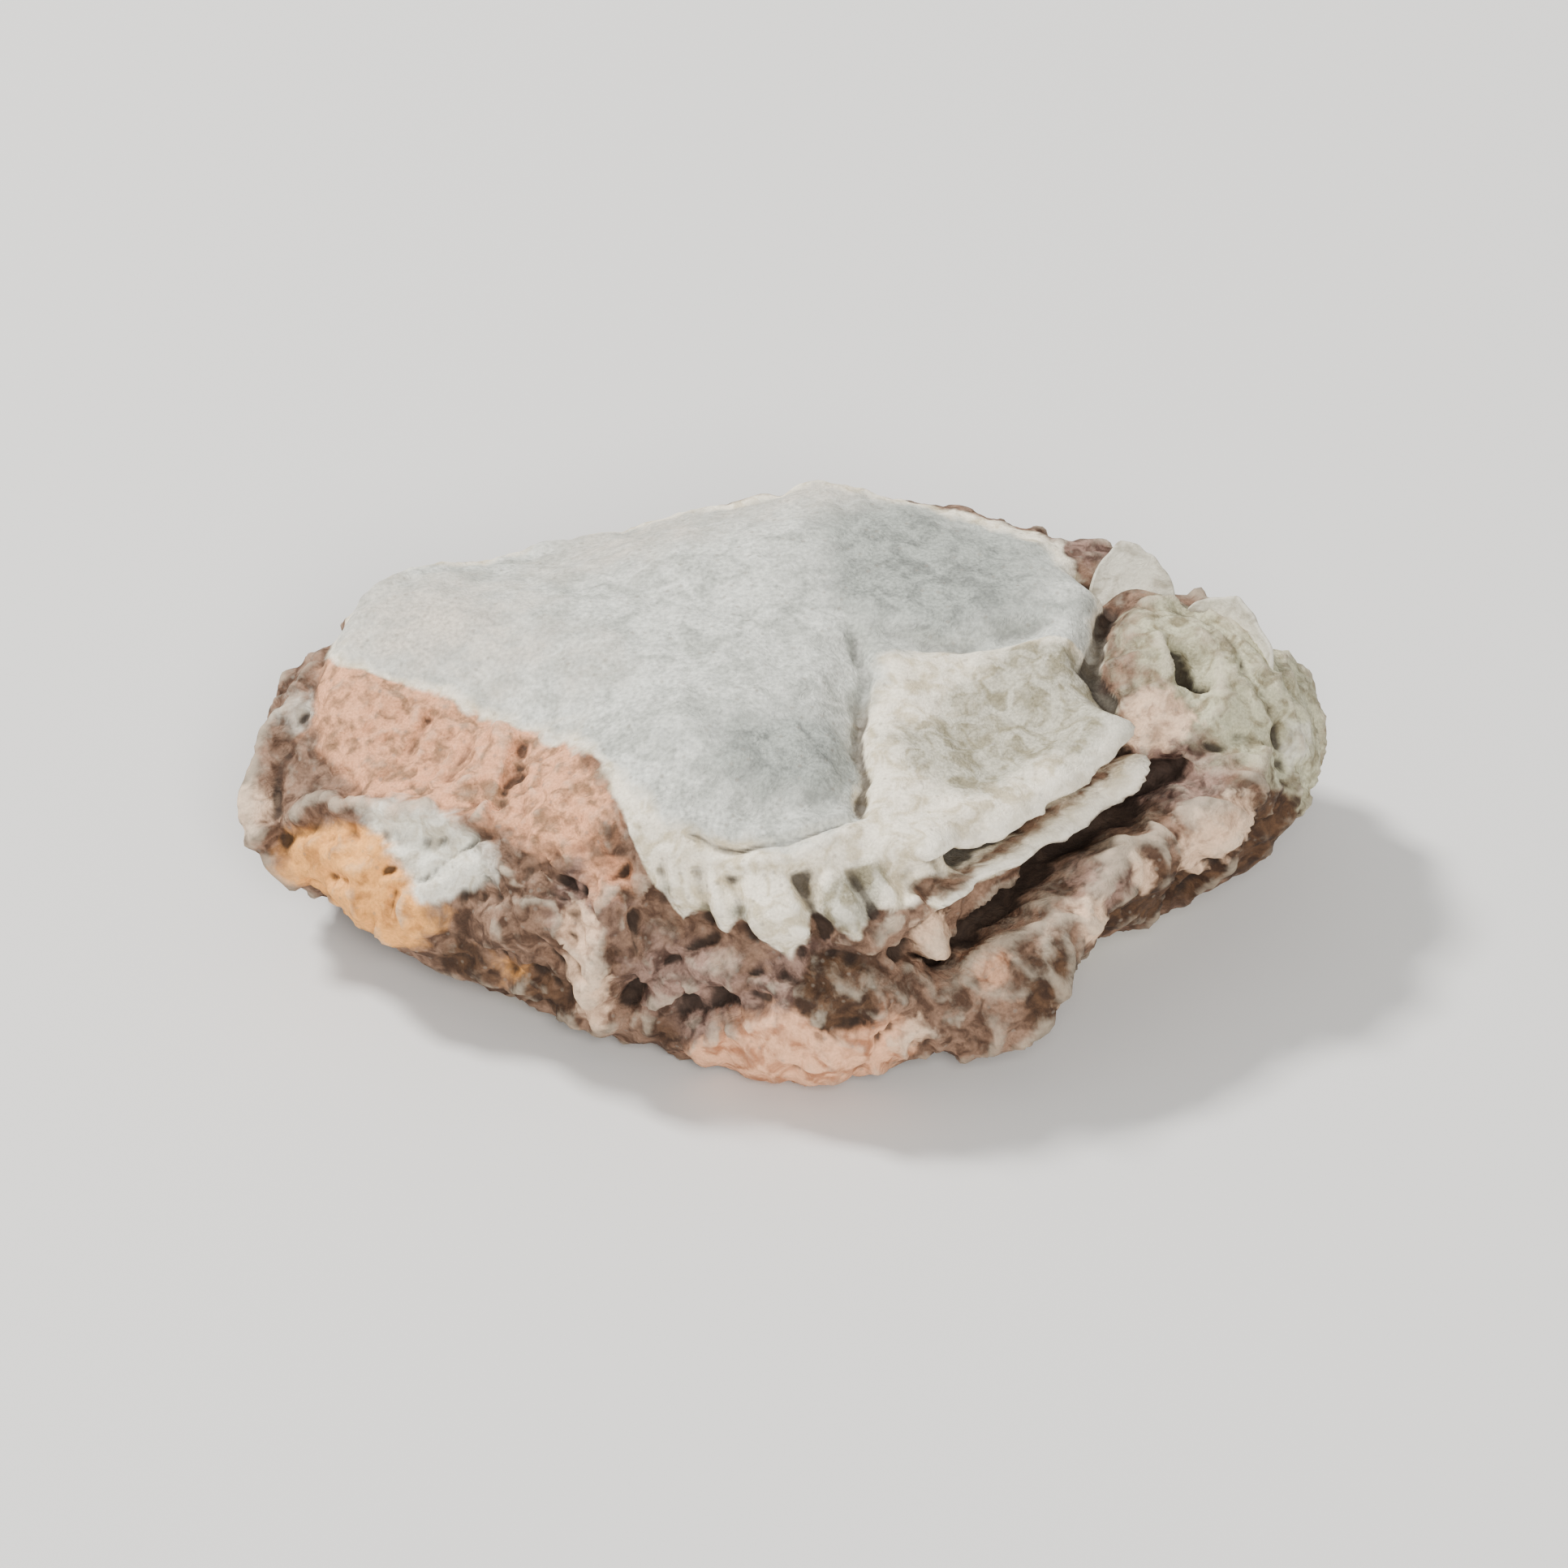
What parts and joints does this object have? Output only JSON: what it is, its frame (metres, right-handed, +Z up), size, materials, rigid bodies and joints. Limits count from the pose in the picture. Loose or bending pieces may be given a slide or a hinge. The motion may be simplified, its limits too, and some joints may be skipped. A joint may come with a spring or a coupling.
{
  "type": "zedoary root",
  "caption": "Thick dried slice of zedoary rhizome: flat grey starchy cut face, wrinkled brown rind with folds and an end knob.",
  "frame": {"origin": "bottom centre of the slice: the middle of its outline in X and Y, on the surface it lies on", "axes": "+X along the slice, towards the end with the knob; +Z up, out of the upper cut face; +Y towards the back of the slice as the picture shows it"},
  "size_m": [0.032, 0.0212, 0.0096],
  "materials": {
    "dried_rhizome": "matte"
  },
  "bodies": {
    "root": {"zedoary_slice": "dried_rhizome"}
  },
  "joints": []
}
